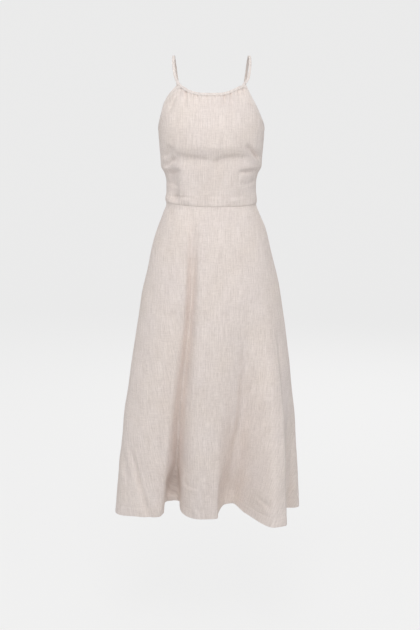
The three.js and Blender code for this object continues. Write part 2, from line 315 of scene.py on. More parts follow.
def grid_quads(rows, columns, wrap=False):
    """Corner numbers of the quads of a grid. Rows times columns, in that order, gives the outer side."""
    index = np.arange(rows * columns).reshape(rows, columns)
    if wrap:
        index = np.concatenate([index, index[:, :1]], axis=1)
    return np.stack([index[:-1, :-1], index[1:, :-1], index[1:, 1:], index[:-1, 1:]], axis=-1).reshape(-1, 4)


def add_mesh(name, points, faces, uv, material):
    """New smooth object from points in millimetres, faces as lists of corners, and a UV for each corner."""
    mesh = bpy.data.meshes.new(name)
    mesh.from_pydata((points.reshape(-1, 3) * MM).tolist(), [], faces)
    layer = mesh.uv_layers.new(name="grain")
    layer.data.foreach_set("uv", np.asarray(uv, np.float32).ravel())
    mesh.shade_smooth()
    mesh.materials.append(material)
    piece = bpy.data.objects.new(name, mesh)
    bpy.context.scene.collection.objects.link(piece)
    return piece


print("a grid of 3 by 4 points has", len(grid_quads(3, 4)), "quads")


# %% Tubes
def run_along(points, axis=0):
    """Distance of each point from the first one of its line, added up along an axis of the grid."""
    first = np.take(points, [0], axis=axis)
    return np.cumsum(np.linalg.norm(np.diff(points, axis=axis, prepend=first), axis=-1), axis=axis)


def add_tube(name, points, material, ends="capped"):
    """Grid whose columns close on themselves. UV runs round and along.

    Its ends are "capped" with n-gons, "folded" flat with quads between the first and second half of its
    outline, or "joined" to each other as in a ring.
    """
    rows, columns = points.shape[:2]
    around = np.concatenate([points, points[:, :1]], axis=1)
    u, v = run_along(around, axis=1), run_along(points).mean(axis=1)
    uv = np.stack(np.broadcast_arrays(u, v[:, None]), axis=-1).reshape(-1, 2) * MM
    corner_uv = [uv[grid_quads(rows, columns + 1)].reshape(-1, 2)]
    faces = grid_quads(rows, columns, wrap=True).tolist()
    first = np.arange(columns)
    last = first + (rows - 1) * columns
    extra = []
    if ends == "capped":
        extra = [first[None], last[None, ::-1]]
    if ends == "folded":
        near, far = first[:columns // 2], first[::-1][:columns // 2]
        closing = np.stack([near[:-1], near[1:], far[1:], far[:-1]], axis=-1)
        extra = [closing, closing[:, ::-1] + last[0]]
    if ends == "joined":
        extra = [np.stack([last, first, np.roll(first, -1), np.roll(last, -1)], axis=-1)]
    for corners in extra:
        faces += corners.tolist()
        corner_uv.append(uv[np.minimum(corners, len(uv) - 1)].reshape(-1, 2))
    return add_mesh(name, points, faces, np.concatenate(corner_uv), material)


# %% Sewing a piece on
def sew_on(piece, node, body="dress"):
    """The piece moves with a body, and the CAD node that it stands for is hidden."""
    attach(piece, body)
    if node:
        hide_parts(node)
    triangles = sum(len(p.vertices) - 2 for p in piece.data.polygons)
    print(piece.name, "has", triangles, "triangles before its thickness")
    return piece


# %% [markdown]
# ## Short names for common nodes
# A finish in Blender is a tree of nodes that ends in one shader. The same few turns of phrase come back in
# each: a noise stretched along a thread, a sum of values, a mix of two colours, a bump. A helper for each
# of them keeps the finishes below short enough to read as a recipe.


# %% Node helpers
def new_material(name):
    """New finish, with its node tree and the shader that its nodes lead to."""
    material = bpy.data.materials.new(name)
    material.use_nodes = True
    tree = material.node_tree
    return material, tree, tree.nodes["Principled BSDF"]


def set_inputs(made, **values):
    """Gives a node's input sockets their values. A name has _ where the socket's has a space."""
    for key, value in values.items():
        made.inputs[key.replace("_", " ")].default_value = value


def node(tree, kind, **settings):
    """New node. A setting names a property, or an input socket where there is no such property."""
    made = tree.nodes.new(kind)
    for key, value in settings.items():
        if hasattr(made, key):
            setattr(made, key, value)
        else:
            set_inputs(made, **{key: value})
    return made


def stretched_noise(tree, source, across, along, detail=2.0):
    """Noise with so many grains to the metre across and along the threads, as a value near 0.5."""
    place = node(tree, "ShaderNodeMapping", Scale=(across, along, 1.0))
    grains = node(tree, "ShaderNodeTexNoise", Scale=1.0, Detail=detail, Roughness=0.55)
    tree.links.new(source, place.inputs["Vector"])
    tree.links.new(place.outputs["Vector"], grains.inputs["Vector"])
    return grains.outputs["Fac"]


def weighted_sum(tree, start, parts):
    """start plus each value times its weight, as a chain of multiply-add nodes."""
    total = None
    for value, weight in parts:
        step = node(tree, "ShaderNodeMath", operation="MULTIPLY_ADD")
        tree.links.new(value, step.inputs[0])
        step.inputs[1].default_value = weight
        if total is None:
            step.inputs[2].default_value = start
        else:
            tree.links.new(total, step.inputs[2])
        total = step.outputs[0]
    return total


# %% Colours, roughness and bumps
def mix_colours(tree, factor, first, second, blend="MIX"):
    """Mix of two colours by a value. A colour is four numbers or the output of another node."""
    mix = node(tree, "ShaderNodeMix", data_type="RGBA", blend_type=blend)
    tree.links.new(factor, mix.inputs["Factor"])
    sockets = [socket for socket in mix.inputs if socket.type == "RGBA"]
    for socket, colour in zip(sockets, (first, second)):
        if isinstance(colour, tuple):
            socket.default_value = colour
        else:
            tree.links.new(colour, socket)
    return next(socket for socket in mix.outputs if socket.type == "RGBA")


def roughen(tree, shader, value, low, high):
    """A value from 0 to 1 sets the shader's roughness, from low to high."""
    spread = node(tree, "ShaderNodeMapRange", To_Min=low, To_Max=high)
    tree.links.new(value, spread.inputs["Value"])
    tree.links.new(spread.outputs["Result"], shader.inputs["Roughness"])


def raise_bumps(tree, shader, height, strength, distance):
    """A height tilts the shader's normal, as if it stood out by the distance in metres."""
    bump = node(tree, "ShaderNodeBump", Strength=strength, Distance=distance)
    tree.links.new(height, bump.inputs["Height"])
    tree.links.new(bump.outputs["Normal"], shader.inputs["Normal"])


# %% [markdown]
# ## Linen
# Linen is woven from uneven flax yarn, so its threads swell and thin into slubs and the cloth shows fine
# streaks along the warp and shorter ones along the weft. An image would do, but nodes stay sharp at any
# size: two wave textures give the plain weave, noise stretched along each thread gives the streaks, and a
# slow noise gives the faint patches of dye. All of them read the UV map, so they follow the cut.

# %% Woven finish
STREAKS = [  # grains to the metre across and along with their detail, share of the tone, share of the height
    ((420, 20, 2.0), 0.9, 0.9),  # along the warp
    ((34, 480, 2.0), 0.5, 0.7),  # along the weft
    ((1250, 75, 1.0), 0.8, 0.5),  # slubs of the warp
    ((95, 1150, 1.0), 0.5, 0),  # slubs of the weft
]
PATCHES, PATCH_SHARE = (16, 11, 2.0), 0.3
DYE, DYE_TINT = (10, 7, 3.0), (1.0, 0.975, 0.9, 1)
WEAVE_SHARE = 0.5
ROUGH_SPREAD = 0.06


def woven(name, dark, light, thread, streaks=1.0, roughness=0.9, sheen=0.12):
    """Plain weave: thread is the spacing of the threads in millimetres, streaks scales the slubs.

    The tone, from dark to light, is 0.5 plus each noise's share of how far that noise is from 0.5. The
    height is the product of two sets of bands, one across the other, plus each noise's share.
    """
    material, tree, shader = new_material(name)
    uv = node(tree, "ShaderNodeUVMap", uv_map="grain").outputs["UV"]
    noises = [stretched_noise(tree, uv, *grains) for grains, _, _ in STREAKS]
    tones = [(noise, share * streaks) for noise, (_, share, _) in zip(noises, STREAKS)]
    tones.append((stretched_noise(tree, uv, *PATCHES), PATCH_SHARE))
    tone = weighted_sum(tree, 0.5 - sum(share for _, share in tones) / 2, tones)
    yarn = mix_colours(tree, tone, dark, light)
    dyed = mix_colours(tree, stretched_noise(tree, uv, *DYE), yarn, DYE_TINT, blend="MULTIPLY")
    tree.links.new(dyed, shader.inputs["Base Color"])
    bands = [
        node(tree, "ShaderNodeTexWave", bands_direction=axis, Scale=np.pi / (10 * thread * MM),
             Distortion=1.6, Detail=1.0, Detail_Scale=0.6)
        for axis in "XY"
    ]
    for band in bands:
        tree.links.new(uv, band.inputs["Vector"])
    weave = node(tree, "ShaderNodeMath", operation="MULTIPLY")
    tree.links.new(bands[0].outputs["Fac"], weave.inputs[0])
    tree.links.new(bands[1].outputs["Fac"], weave.inputs[1])
    heights = [(noise, share) for noise, (_, _, share) in zip(noises, STREAKS) if share]
    height = weighted_sum(tree, 0.0, [(weave.outputs[0], WEAVE_SHARE), *heights])
    raise_bumps(tree, shader, height, 0.55, 0.0006)
    roughen(tree, shader, noises[0], roughness - ROUGH_SPREAD, roughness + ROUGH_SPREAD)
    set_inputs(shader, Specular_IOR_Level=0.2)
    set_inputs(shader, Sheen_Weight=sheen, Sheen_Roughness=0.6, Sheen_Tint=(1.0, 0.96, 0.92, 1.0))
    return material


LINEN = woven("oat_linen", (0.63, 0.54, 0.502, 1), (0.97, 0.873, 0.842, 1), thread=0.9)
EDGE_LINEN = woven(
    "oat_linen_edges", (0.63, 0.552, 0.516, 1), (0.96, 0.877, 0.856, 1), thread=0.9, streaks=0.8,
)
print("finishes:", LINEN.name, EDGE_LINEN.name)

# %% [markdown]
# ## Creases
# A crease is a soft trough, often with a low lip of cloth beside it. Sculpting would do it, and so would
# a displacement texture, but a crease has a place and a size that can be measured. Each is a row: a route
# across the cloth, its half width, how far it sinks, and how high its lip is as a share of that.


# %% Routes
def smooth_route(points, count):
    """Curve through given points: a centripetal Catmull-Rom cubic, as so many points along it."""
    points = np.asarray(points, float)
    gap = np.sqrt(np.linalg.norm(np.diff(points, axis=0), axis=1))[:, None]
    rise = np.diff(points, axis=0) / gap
    inner = (rise[:-1] * gap[1:] + rise[1:] * gap[:-1]) / (gap[:-1] + gap[1:])
    slope = np.concatenate([rise[:1], inner, rise[-1:]])
    place = np.concatenate([[0], np.cumsum(gap)])
    at = np.linspace(0, place[-1], count)
    row = np.clip(np.searchsorted(place, at, side="right") - 1, 0, len(gap) - 1)
    span = gap[row]
    t = (at - place[row])[:, None] / span
    climb = points[row + 1] - points[row]
    return cubic(t, points[row], climb, slope[row] * span, slope[row + 1] * span)


print("middle of a route:", smooth_route([(0, 0), (10, 5), (20, 0)], 3)[1])

# %% Crease
CREASE_STEPS = 48
CREASE_FADE = 3.2  # a crease is whole once it is 1 / CREASE_FADE of its length from an end
LIP_AT = 1.9  # half widths from the route to the lip


def crease_relief(across, drop, creases):
    """How far creases move the cloth out, at places given by x and drop.

    Beside its route a crease is a bell curve of its half width. On its far side, which is below a route
    drawn towards +X and on the -X side of one drawn downwards, tail makes the curve so many times wider,
    and a lip stands LIP_AT half widths away. It fades at both ends.
    """
    relief = np.zeros(np.shape(drop))
    for sink, width, tail, lip, route in creases:
        path = smooth_route(route, CREASE_STEPS)
        reach = (3 + 2 * tail) * width
        low, high = path.min(axis=0) - reach, path.max(axis=0) + reach
        near = (across > low[0]) & (across < high[0]) & (drop > low[1]) & (drop < high[1])
        apart = np.stack([across[near], drop[near]], axis=-1)[:, None] - path
        closest = np.linalg.norm(apart, axis=-1).argmin(axis=1)
        heading = unit(np.gradient(path, axis=0))[closest]
        offset = apart[np.arange(len(closest)), closest]
        side = (heading[:, 0] * offset[:, 1] - heading[:, 1] * offset[:, 0]) / width
        share = closest / (CREASE_STEPS - 1)
        fade = ease(CREASE_FADE * np.minimum(share, 1 - share))
        trough = bell(side, np.where(side > 0, tail, 1))
        relief[near] -= sink * fade * (trough - lip * bell(side - LIP_AT, 1))
    return relief


flat_crease = [(5, 4, 1, 0, [(-40, 0), (0, 0), (40, 0)])]
print("floor of a crease 5 mm deep:", crease_relief(np.zeros(1), np.zeros(1), flat_crease).round(2))

# %% Slack
SLACK_WAVES = [  # length across, length down, where it starts
    (97, 241, 0.4), (-143, 173, 2.1), (61, 390, 4.4), (211, -118, 1.2), (-53, 309, 5.6),
]


def slack(across, drop, size):
    """Faint unevenness of used cloth: the mean of five slow waves that cross at odd angles."""
    waves = [np.sin(2 * np.pi * (across / a + drop / d) + start) for a, d, start in SLACK_WAVES]
    return size * sum(waves) / len(waves)


# %% [markdown]
# ## Cutting a panel
# A panel is cut between two turns and two edges, and then everything that makes it cloth moves it level,
# outwards or inwards. Its edges roll in at the seams. Rows and columns lie closer together near the edges,
# where those rolls are, and Solidify gives the linen its thickness towards the inside.

# %% Rows and columns
LINEN_THICK = 0.6
CENTRE_BACK = 180.0
SEAM_ROLL = 2.4  # how wide the cloth rolls in at a seam
CLOSER = 0.45  # how much the steps shrink at a panel's ends
FINE = 3000  # points that measure a row of cloth


def closer_at_ends(count, strength):
    """Shares from 0 to 1: t - strength * sin(2 pi t) / (2 pi), so steps shrink by strength at the ends."""
    t = np.linspace(0, 1, count)
    return t - strength * np.sin(2 * np.pi * t) / (2 * np.pi)


def even_turns(start, end, count, drop):
    """Turns whose points lie evenly along the cloth at one drop, a little closer at both ends."""
    fine = np.linspace(start, end, FINE)
    run = run_along(cloth_point(fine, np.full_like(fine, drop)))
    return np.interp(closer_at_ends(count, CLOSER) * run[-1], run, fine)


def level_run(base):
    """Distance along each row of a grid, measured level."""
    return run_along(base[..., :2], axis=1)


def seam_tuck(distance, deep):
    """Roll of the cloth into a seam: a bell curve of the distance from it."""
    return -deep * bell(distance, SEAM_ROLL)


print("turns of five even columns:", even_turns(-90, 90, 5, 240).round(1))


# %% Panel
def lay(turn, drop, relief):
    """Cloth moved level by its relief."""
    return cloth_point(turn, drop) + level_out(cloth_point, turn, drop) * np.asarray(relief)[..., None]


def grain(base, drop, centre):
    """Flat place of each point in metres: along the row from a centre column, and down that column."""
    run = level_run(base)
    v = run_along(base[:, centre])[:, None] + drop - drop[:, centre:centre + 1]
    return np.stack([run - run[:, centre:centre + 1], v], axis=-1) * MM


def add_panel(name, points, uv, material):
    """Panel of linen from its outer face, with its thickness inside."""
    quads = grid_quads(*points.shape[:2])
    piece = add_mesh(name, points, quads.tolist(), uv.reshape(-1, 2)[quads], material)
    wall = piece.modifiers.new("thickness", "SOLIDIFY")
    wall.thickness = LINEN_THICK * MM
    wall.offset = -1
    return piece


# %% [markdown]
# ## The bodice's own shape
# The neck is drawn up on a channel, so uneven gathers run down from it, and two darts take in the waist.
# Folding flat cloth would make them too, but their places and lengths are known, so each is a row, and a
# bell curve along its line gives it its hollow.

# %% Gathers and darts
CASING_DEPTH = 6.5
GATHERS = np.array([  # x at the channel, x at its lower end, length, sink, half width
    [-76, -87, 32, 3.8, 2.8],
    [-64, -68, 46, 6.4, 3.2],
    [-54, -57, 20, 3.2, 2.6],
    [-45, -46, 28, 4.2, 3.0],
    [-36, -38, 22, 5.4, 3.2],
    [-27, -27, 14, 2.4, 2.2],
    [-19, -20, 18, 2.6, 2.6],
    [-12, -13, 30, 4.2, 2.8],
    [-3, -3, 14, 2.2, 2.2],
    [5, 6, 26, 3.4, 2.8],
    [13, 14, 14, 2.4, 2.2],
    [22, 23, 18, 3.0, 2.8],
    [32, 33, 28, 6.0, 3.0],
    [41, 43, 18, 3.4, 2.4],
    [49, 51, 30, 6.2, 3.0],
    [59, 63, 16, 3.0, 2.4],
    [68, 74, 26, 4.4, 2.8],
    [79, 89, 22, 3.2, 2.6],
])
DARTS = [  # x at the waist, x at the point, drop of the point, rise beside it, hollow outside it
    (-72, -78, 262, 4.0, 8.5),
    (69, 68, 284, 2.6, 1.0),
]
DART_SEAM, DART_RIDGE, DART_FALL = 1.5, 20, 24  # widths of the sewn line, the rise and the hollow's slope
HOLLOW_END = 116  # x at which the hollow outside a dart is over


def gather_relief(across, below):
    """Gathers: bell-shaped hollows that start under the channel, lean, and die away along their length.

    Each widens to twice its width, and on the channel itself it has three tenths of its depth.
    """
    at_neck, at_end, length, sink, width = GATHERS.T.reshape(5, -1, *[1] * np.ndim(below))
    share = np.clip((below - CASING_DEPTH) / length, 0, 1)
    middle = at_neck + (at_end - at_neck) * share
    strength = sink * (1 - share**2) * (0.3 + 0.7 * ease((below - CASING_DEPTH + 2) / 5))
    return -(strength * bell(across - middle, width * (1 + share))).sum(axis=0)


def dart_relief(across, drop):
    """Darts: the cloth stands up along each sewn line and falls away outside it.

    The line itself is a fine groove, and all of it grows from the dart's point to the waist.
    """
    relief = np.zeros(np.shape(drop))
    for foot, point, high, stand, hollow in DARTS:
        share = (drop - high) / (WAIST_DROP - high)
        line = point + (foot - point) * share
        beyond = np.where(across * foot > 0, np.abs(across) - np.abs(line), -999)
        ridge = bell(beyond + DART_RIDGE / 2, DART_RIDGE)
        fall = ease(beyond / DART_FALL) * ease((HOLLOW_END - np.abs(across)) / 16)
        groove = bell(across - line, DART_SEAM)
        relief += ease(share * 2.2) * (stand * ridge - hollow * fall - 1.2 * groove)
    return relief


print(len(GATHERS), "gathers and", len(DARTS), "darts")

# %% [markdown]
# ## Creases of the bodice
# The cloth breaks in a soft crease under the bust line, and the slack above the waist lies in small tucks
# and a roll. These are the main creases, each with its own size; the ones behind are similar and calmer.
# Near the neck and the waist seam they fade, because the stitching there holds the cloth flat.

# %% Bodice creases
BODICE_CREASES = [  # sink, half width, tail, lip, route of x and drop
    (4.8, 5.5, 5, 0, [(-108, 238), (-76, 250), (-48, 255), (-22, 258), (4, 264.5)]),
    (4.2, 5.5, 5, 0, [(-12, 262), (4, 264.5), (20, 260), (40, 254), (80, 254), (102, 257)]),
    (7.0, 6.0, 1, 0, [(84, 218), (98, 232), (112, 247), (125, 264)]),
    (2.2, 2.2, 1, 0.5, [(92, 220), (104, 234), (114, 249), (126, 268)]),
    (6.6, 4.0, 1.8, 0, [(64, 291), (92, 289), (124, 287)]),
    (6.0, 9.0, 1, 0, [(-100, 222), (-110, 240), (-124, 262)]),
    (7.0, 6.5, 1, 0, [(-126, 284), (-110, 268), (-86, 254)]),
    (5.0, 6.0, 1.5, 0, [(-122, 297), (-96, 291), (-72, 288)]),
    (2.6, 3.2, 1, 0.1, [(-80, 84), (-91, 104), (-100, 126), (-110, 146)]),
    (2.2, 3.0, 1.5, 0, [(-118, 355), (-90, 354), (-36, 354)]),
    (0.9, 4.5, 1, 0.4, [(-30, 352), (8, 351), (60, 354), (104, 350)]),
    (1.6, 5, 1, 0.4, [(-114, 316), (-98, 326), (-82, 324)]),
    (1.6, 5, 1, 0.4, [(70, 318), (92, 322), (116, 312)]),
    (0.9, 6, 1, 0.2, [(-44, 300), (-42, 330), (-48, 348)]),
    (0.8, 6, 1, 0.2, [(34, 292), (30, 322), (38, 344)]),
]
NECK_CALM, WAIST_CALM = 8, 16  # how far from the neck and the waist the stitching holds the cloth


def waist_roll(across, above):
    """Slack above the waist seam: a low roll 5 mm up with a hollow over it, 17 mm up.

    The groove of the seam itself is deeper on the +X side, and two waves make all of it uneven.
    """
    uneven = 1 + 0.35 * np.sin(across / 19 + 0.8) * np.cos(across / 47)
    roll = 0.8 * bell(above - 5, 4.6) - 0.5 * bell(above - 17, 5)
    groove = (0.25 + 0.75 * ease((across - 14) / 30)) * bell(above, 2.0)
    return (roll - groove) * uneven


def front_relief(turn, drop):
    """All that shapes the bodice's front, as a move outwards."""
    across = cloth_point(turn, drop)[..., 0]
    below = drop - top_drop(turn)
    above = waist_drop(turn) - drop
    calm = ease((below - NECK_CALM) / 14) * ease(above / WAIST_CALM)
    worn = crease_relief(across, drop, BODICE_CREASES) + dart_relief(across, drop) + slack(across, drop, 0.9)
    neck = np.where(np.abs(turn) < NECK_END, gather_relief(across, below), 0)
    return calm * worn + neck + waist_roll(across, above)


# %% [markdown]
# ## Bodice front
# The front is one piece from side seam to side seam. Its outer face is worked out on a grid, and its two
# side edges roll in where they are sewn to the backs. The grain runs straight down its middle column.

# %% Bodice front
SIDE = 90.0
BODICE_ROWS, FRONT_COLUMNS = 140, 311
FRONT_ROLL = 1.4


def bodice_grid(turns):
    """Turns and drops of a bodice panel, from its upper edge to the waist seam."""
    turn, share = np.meshgrid(turns, closer_at_ends(BODICE_ROWS, CLOSER))
    high = top_drop(turn)
    return turn, high + (waist_drop(turn) - high) * share


turn, drop = bodice_grid(even_turns(-SIDE, SIDE, FRONT_COLUMNS, 240))
base = cloth_point(turn, drop)
run = level_run(base)
sides = seam_tuck(run, FRONT_ROLL) + seam_tuck(run[:, -1:] - run, FRONT_ROLL)
points = lay(turn, drop, front_relief(turn, drop) + sides)
bodice_front = add_panel("bodice_front_cloth", points, grain(base, drop, FRONT_COLUMNS // 2), LINEN)
sew_on(bodice_front, "bodice_front")
print("bodice front is", run.max().round(0), "mm round at its widest row")

# %% [markdown]
# ## Bodice backs
# The two backs meet at the zip. They are not in the picture, so they are plain: a dart each, and a few
# creases that run in from the side seam and across above the waist.

# %% Bodice back creases
BACK_CREASES = [  # sink, half width, tail, lip, route of x and drop
    (2.2, 6, 1, 0.4, [(126, 240), (100, 252), (70, 256), (44, 262)]),
    (1.8, 5, 1, 0.5, [(118, 296), (96, 300), (66, 306)]),
    (1.4, 5, 1, 0.4, [(20, 318), (48, 326), (84, 322)]),
    (1.2, 4.5, 1, 0.4, [(14, 350), (46, 354), (92, 350)]),
    (1.4, 6, 1, 0.3, [(60, 214), (66, 240), (58, 268)]),
    (2.0, 6, 1, 0.4, [(-124, 236), (-98, 246), (-62, 250)]),
    (1.7, 5, 1, 0.5, [(-116, 290), (-90, 298), (-52, 300)]),
    (1.4, 5, 1, 0.4, [(-22, 330), (-52, 322), (-88, 330)]),
    (1.1, 4.5, 1, 0.4, [(-12, 346), (-50, 352), (-98, 348)]),
    (1.3, 6, 1, 0.3, [(-46, 218), (-56, 244), (-50, 274)]),
]
BACK_DARTS_AT, BACK_DART_POINT = 52, 262  # x, and drop of the point


def back_relief(turn, drop):
    """All that shapes the bodice's backs, as a move outwards."""
    across = cloth_point(turn, drop)[..., 0]
    below = drop - top_drop(turn)
    line = np.abs(across) - BACK_DARTS_AT
    deep = ease((drop - BACK_DART_POINT) / 50)
    dart = deep * (1.2 * bell(line, 12) - bell(line, DART_SEAM))
    worn = crease_relief(across, drop, BACK_CREASES) + dart + slack(across, drop, 0.8)
    above = waist_drop(turn) - drop
    return ease((below - NECK_CALM) / 12) * ease(above / WAIST_CALM) * worn + waist_roll(across, above)


print(len(BACK_CREASES), "creases in the bodice's backs")

# %% Bodice backs
UNDERLAP = 0.5  # degrees that a back panel reaches under the front at a side seam
BACKS = {"right": (SIDE - UNDERLAP, CENTRE_BACK), "left": (CENTRE_BACK, 360 - SIDE + UNDERLAP)}
ZIP_ROLL, UNDERLAP_ROLL = 1.1, 2.6

for name, (start, end) in BACKS.items():
    turn, drop = bodice_grid(even_turns(start, end, 101, 260))
    base = cloth_point(turn, drop)
    run = level_run(base)
    to_zip, to_side = (run[:, -1:] - run, run) if name == "right" else (run, run[:, -1:] - run)
    rolled = seam_tuck(to_zip, ZIP_ROLL) + seam_tuck(to_side, UNDERLAP_ROLL)
    points = lay(turn, drop, back_relief(turn, drop) + rolled)
    centre = turn.shape[1] - 1 if name == "right" else 0
    piece = add_panel(f"bodice_back_{name}_cloth", points, grain(base, drop, centre), LINEN)
    sew_on(piece, f"bodice_back_{name}")

# %% [markdown]
# ## The skirt
# Three panels hang from the waist seam. Their folds are in the form already; what is added is the roll at
# each seam, deeper valleys beside the large folds in front, and a few breaks near the hem where the linen
# has been pressed. Valleys and breaks are both creases, but valleys are long and follow a fold downwards.

# %% Skirt creases
VALLEYS = [  # sink, half width, tail, lip, route of x and drop
    (10.0, 11, 1.3, 0, [
        (-106, 1360), (-102, 1200), (-100, 1130), (-97, 1041), (-90, 934), (-76, 826), (-61, 719),
        (-53, 611), (-50, 500), (-49, 280),
    ]),
    (9.0, 8, 1.2, 0, [(-110, 1330), (-107, 1240), (-104, 1120), (-101, 1040), (-95, 950)]),
    (7.0, 7, 2.2, 0, [(-78, 826), (-64, 719), (-57, 620), (-54, 530), (-53, 450), (-53, 350)]),
    (14.0, 10, 3.0, 0, [
        (-66, 500), (-84, 700), (-98, 826), (-112, 934), (-119, 1041), (-122, 1130), (-124, 1200),
        (-126, 1290),
    ]),
    (8.0, 7, 2.5, 0, [(40, 1420), (48, 1190), (50, 1095), (56, 1041), (74, 934), (80, 826), (84, 640)]),
]
SKIRT_CREASES = [  # as for the valleys
    (16.0, 7, 2.5, 0, [(-116, 1500), (-112, 1200), (-111, 1130), (-108, 1050)]),
    (9.0, 8, 1.1, 0, [(-103, 1500), (-101, 1200), (-99, 1130), (-96, 1060)]),
    (10.0, 7, 2.5, 0, [(24, 1500), (27, 1200), (30, 1130), (38, 1050)]),
    (5.5, 7, 1, 0, [(-226, 985), (-205, 1050), (-178, 1160), (-160, 1215), (-150, 1250)]),
    (2.4, 8, 1, 0.4, [(-236, 1010), (-228, 1070), (-214, 1120)]),
    (1.6, 5, 1, 0.5, [(-74, 1098), (-62, 1114), (-28, 1113)]),
    (1.5, 5, 1, 0.4, [(-46, 1160), (-36, 1176), (-26, 1190)]),
    (1.4, 6, 1, 0.4, [(108, 1136), (136, 1146), (166, 1170)]),
    (1.3, 6, 1, 0.4, [(116, 1168), (140, 1152), (170, 1140)]),
    (1.6, 8, 1, 0.3, [(-120, 1090), (-108, 1130), (-112, 1180)]),
    (1.3, 9, 1, 0.3, [(196, 1060), (188, 1110), (192, 1160)]),
    (1.2, 7, 1, 0.4, [(-150, 640), (-110, 660), (-70, 652)]),
    (1.0, 7, 1, 0.4, [(40, 700), (80, 716), (130, 706)]),
    (1.1, 9, 1, 0.2, [(-52, 392), (-50, 440), (-58, 500)]),
    (1.0, 9, 1, 0.2, [(58, 394), (60, 446), (70, 500)]),
    (0.9, 8, 1, 0.2, [(8, 392), (6, 440), (9, 520)]),
    (1.0, 8, 1, 0.3, [(-96, 394), (-104, 440), (-120, 500)]),
    (1.0, 8, 1, 0.3, [(96, 396), (108, 450), (126, 510)]),
]
SKIRT_BACK_CREASES = [  # as for the valleys
    (2.2, 8, 1, 0.4, [(-190, 1020), (-170, 1090), (-160, 1176)]),
    (1.8, 8, 1, 0.4, [(176, 1000), (160, 1080), (164, 1170)]),
    (1.6, 6, 1, 0.5, [(-90, 900), (-60, 912), (-24, 902)]),
    (1.5, 6, 1, 0.5, [(30, 880), (66, 894), (100, 884)]),
    (1.3, 6, 1, 0.4, [(-110, 700), (-70, 716), (-30, 706)]),
    (1.2, 6, 1, 0.4, [(40, 690), (76, 700), (120, 694)]),
    (1.2, 9, 1, 0.2, [(-60, 392), (-66, 440), (-80, 500)]),
    (1.2, 9, 1, 0.2, [(58, 392), (66, 446), (76, 506)]),
]
print(len(SKIRT_CREASES), "creases in front and", len(SKIRT_BACK_CREASES), "behind")

# %% [markdown]
# ## Hem
# The hem is turned up inside in one piece with the panel, so the last rows of a panel's grid go round its
# edge and back up. A separate strip would do, but then the edge would show a join from below.

# %% Hem rows
HEM_TURN_UP = 24
HEM_BEND = 0.75  # radius of the fold at the hem's edge
SEAM_UNDERLAP = 2.5  # how far a skirt panel reaches up under the bodice


def hem_rows(count):
    """Rows of a skirt panel: share of the way down, millimetres back up inside, and millimetres inwards."""
    down = closer_at_ends(count, 0.5)
    bend = np.linspace(0, np.pi, 7)[1:]
    inside = np.linspace(0, HEM_TURN_UP, 9)[1:]
    share = np.concatenate([down, np.ones(len(bend) + len(inside))])
    back_up = np.concatenate([np.zeros(count), -HEM_BEND * np.sin(bend), inside])
    straight = np.full(len(inside), 2 * HEM_BEND)
    inwards = np.concatenate([np.zeros(count), HEM_BEND * (1 - np.cos(bend)), straight])
    return share, back_up, inwards


def skirt_grid(turns, count):
    """Turns, drops and insets of a skirt panel. It starts a little above the seam, under the bodice."""
    share, back_up, inwards = hem_rows(count)
    turn = np.broadcast_to(turns, (len(share), len(turns)))
    high, low = waist_drop(turn) - SEAM_UNDERLAP, hem_drop(turn)
    drop = high + (low - high) * share[:, None] - back_up[:, None]
    return turn, drop, np.broadcast_to(inwards[:, None], turn.shape)


print("a skirt panel has", len(hem_rows(190)[0]) - 190, "rows for its hem")

# %% [markdown]
# ## Skirt panels
# Each panel is shaped in two moves. Seam roll, creases and hem move the cloth square to itself. Valleys
# sink square to the plain form instead, so that the steep side of a fold isn't cut under by them.

# %% Skirt helpers
SKIRT_CALM, HEM_CALM = 30, 60  # how far from the waist and the hem the creases and valleys are whole


def skirt_relief(turn, drop, creases):
    """Seam roll at the waist, creases and slack, and the hem's two layers as a faint step.

    The step rises over 3 mm at the top of the turn-up, and a groove there is its line of stitches.
    """
    across = cloth_point(turn, drop)[..., 0]
    below = drop - waist_drop(turn)
    turned = hem_drop(turn) - drop - HEM_TURN_UP
    calm = ease(below / SKIRT_CALM)
    tucked = -1.3 * bell(np.maximum(below + SEAM_UNDERLAP, 0), 3.4)
    band = 0.35 * ease(-turned / 3) - 0.5 * bell(turned, 1.8)
    return calm * (crease_relief(across, drop, creases) + slack(across, drop, 1.6)) + tucked + band


def sew_skirt(name, turns, count, creases, rolls, centre, valleys=()):
    """Skirt panel between its seams. rolls are the depths of the roll at its first and last column."""
    turn, drop, inset = skirt_grid(turns, count)
    base = cloth_point(turn, drop)
    run = level_run(base)
    rolled = seam_tuck(run, rolls[0]) + seam_tuck(run[:, -1:] - run, rolls[1])
    points = lay(turn, drop, skirt_relief(turn, drop, creases) + rolled - inset)
    fade = ease((drop - waist_drop(turn)) / SKIRT_CALM) * ease((hem_drop(turn) - drop) / HEM_CALM)
    sunk = fade * crease_relief(base[..., 0], drop, valleys)
    points = points + level_out(plain_point, turn, drop) * sunk[..., None]
    piece = add_panel(f"{name}_cloth", points, grain(base, drop, centre), LINEN)
    print(name, "is", run[0, -1].round(0), "mm wide at the waist and", run[-1, -1].round(0), "at the hem")
    return sew_on(piece, name)


# %% Skirt panels
EVEN_AT = 1000  # drop at which a skirt's columns are evenly spaced
turns = even_turns(-SIDE, SIDE, 213, EVEN_AT)
middle = int(np.abs(turns).argmin())
skirt_front = sew_skirt("skirt_front", turns, 190, SKIRT_CREASES, (1.6, 1.6), middle, VALLEYS)
for side, rolls, centre in (("right", (3.0, 1.3), 140), ("left", (1.3, 3.0), 0)):
    turns = even_turns(*BACKS[side], 141, EVEN_AT)
    sew_skirt(f"skirt_back_{side}", turns, 180, SKIRT_BACK_CREASES, rolls, centre)

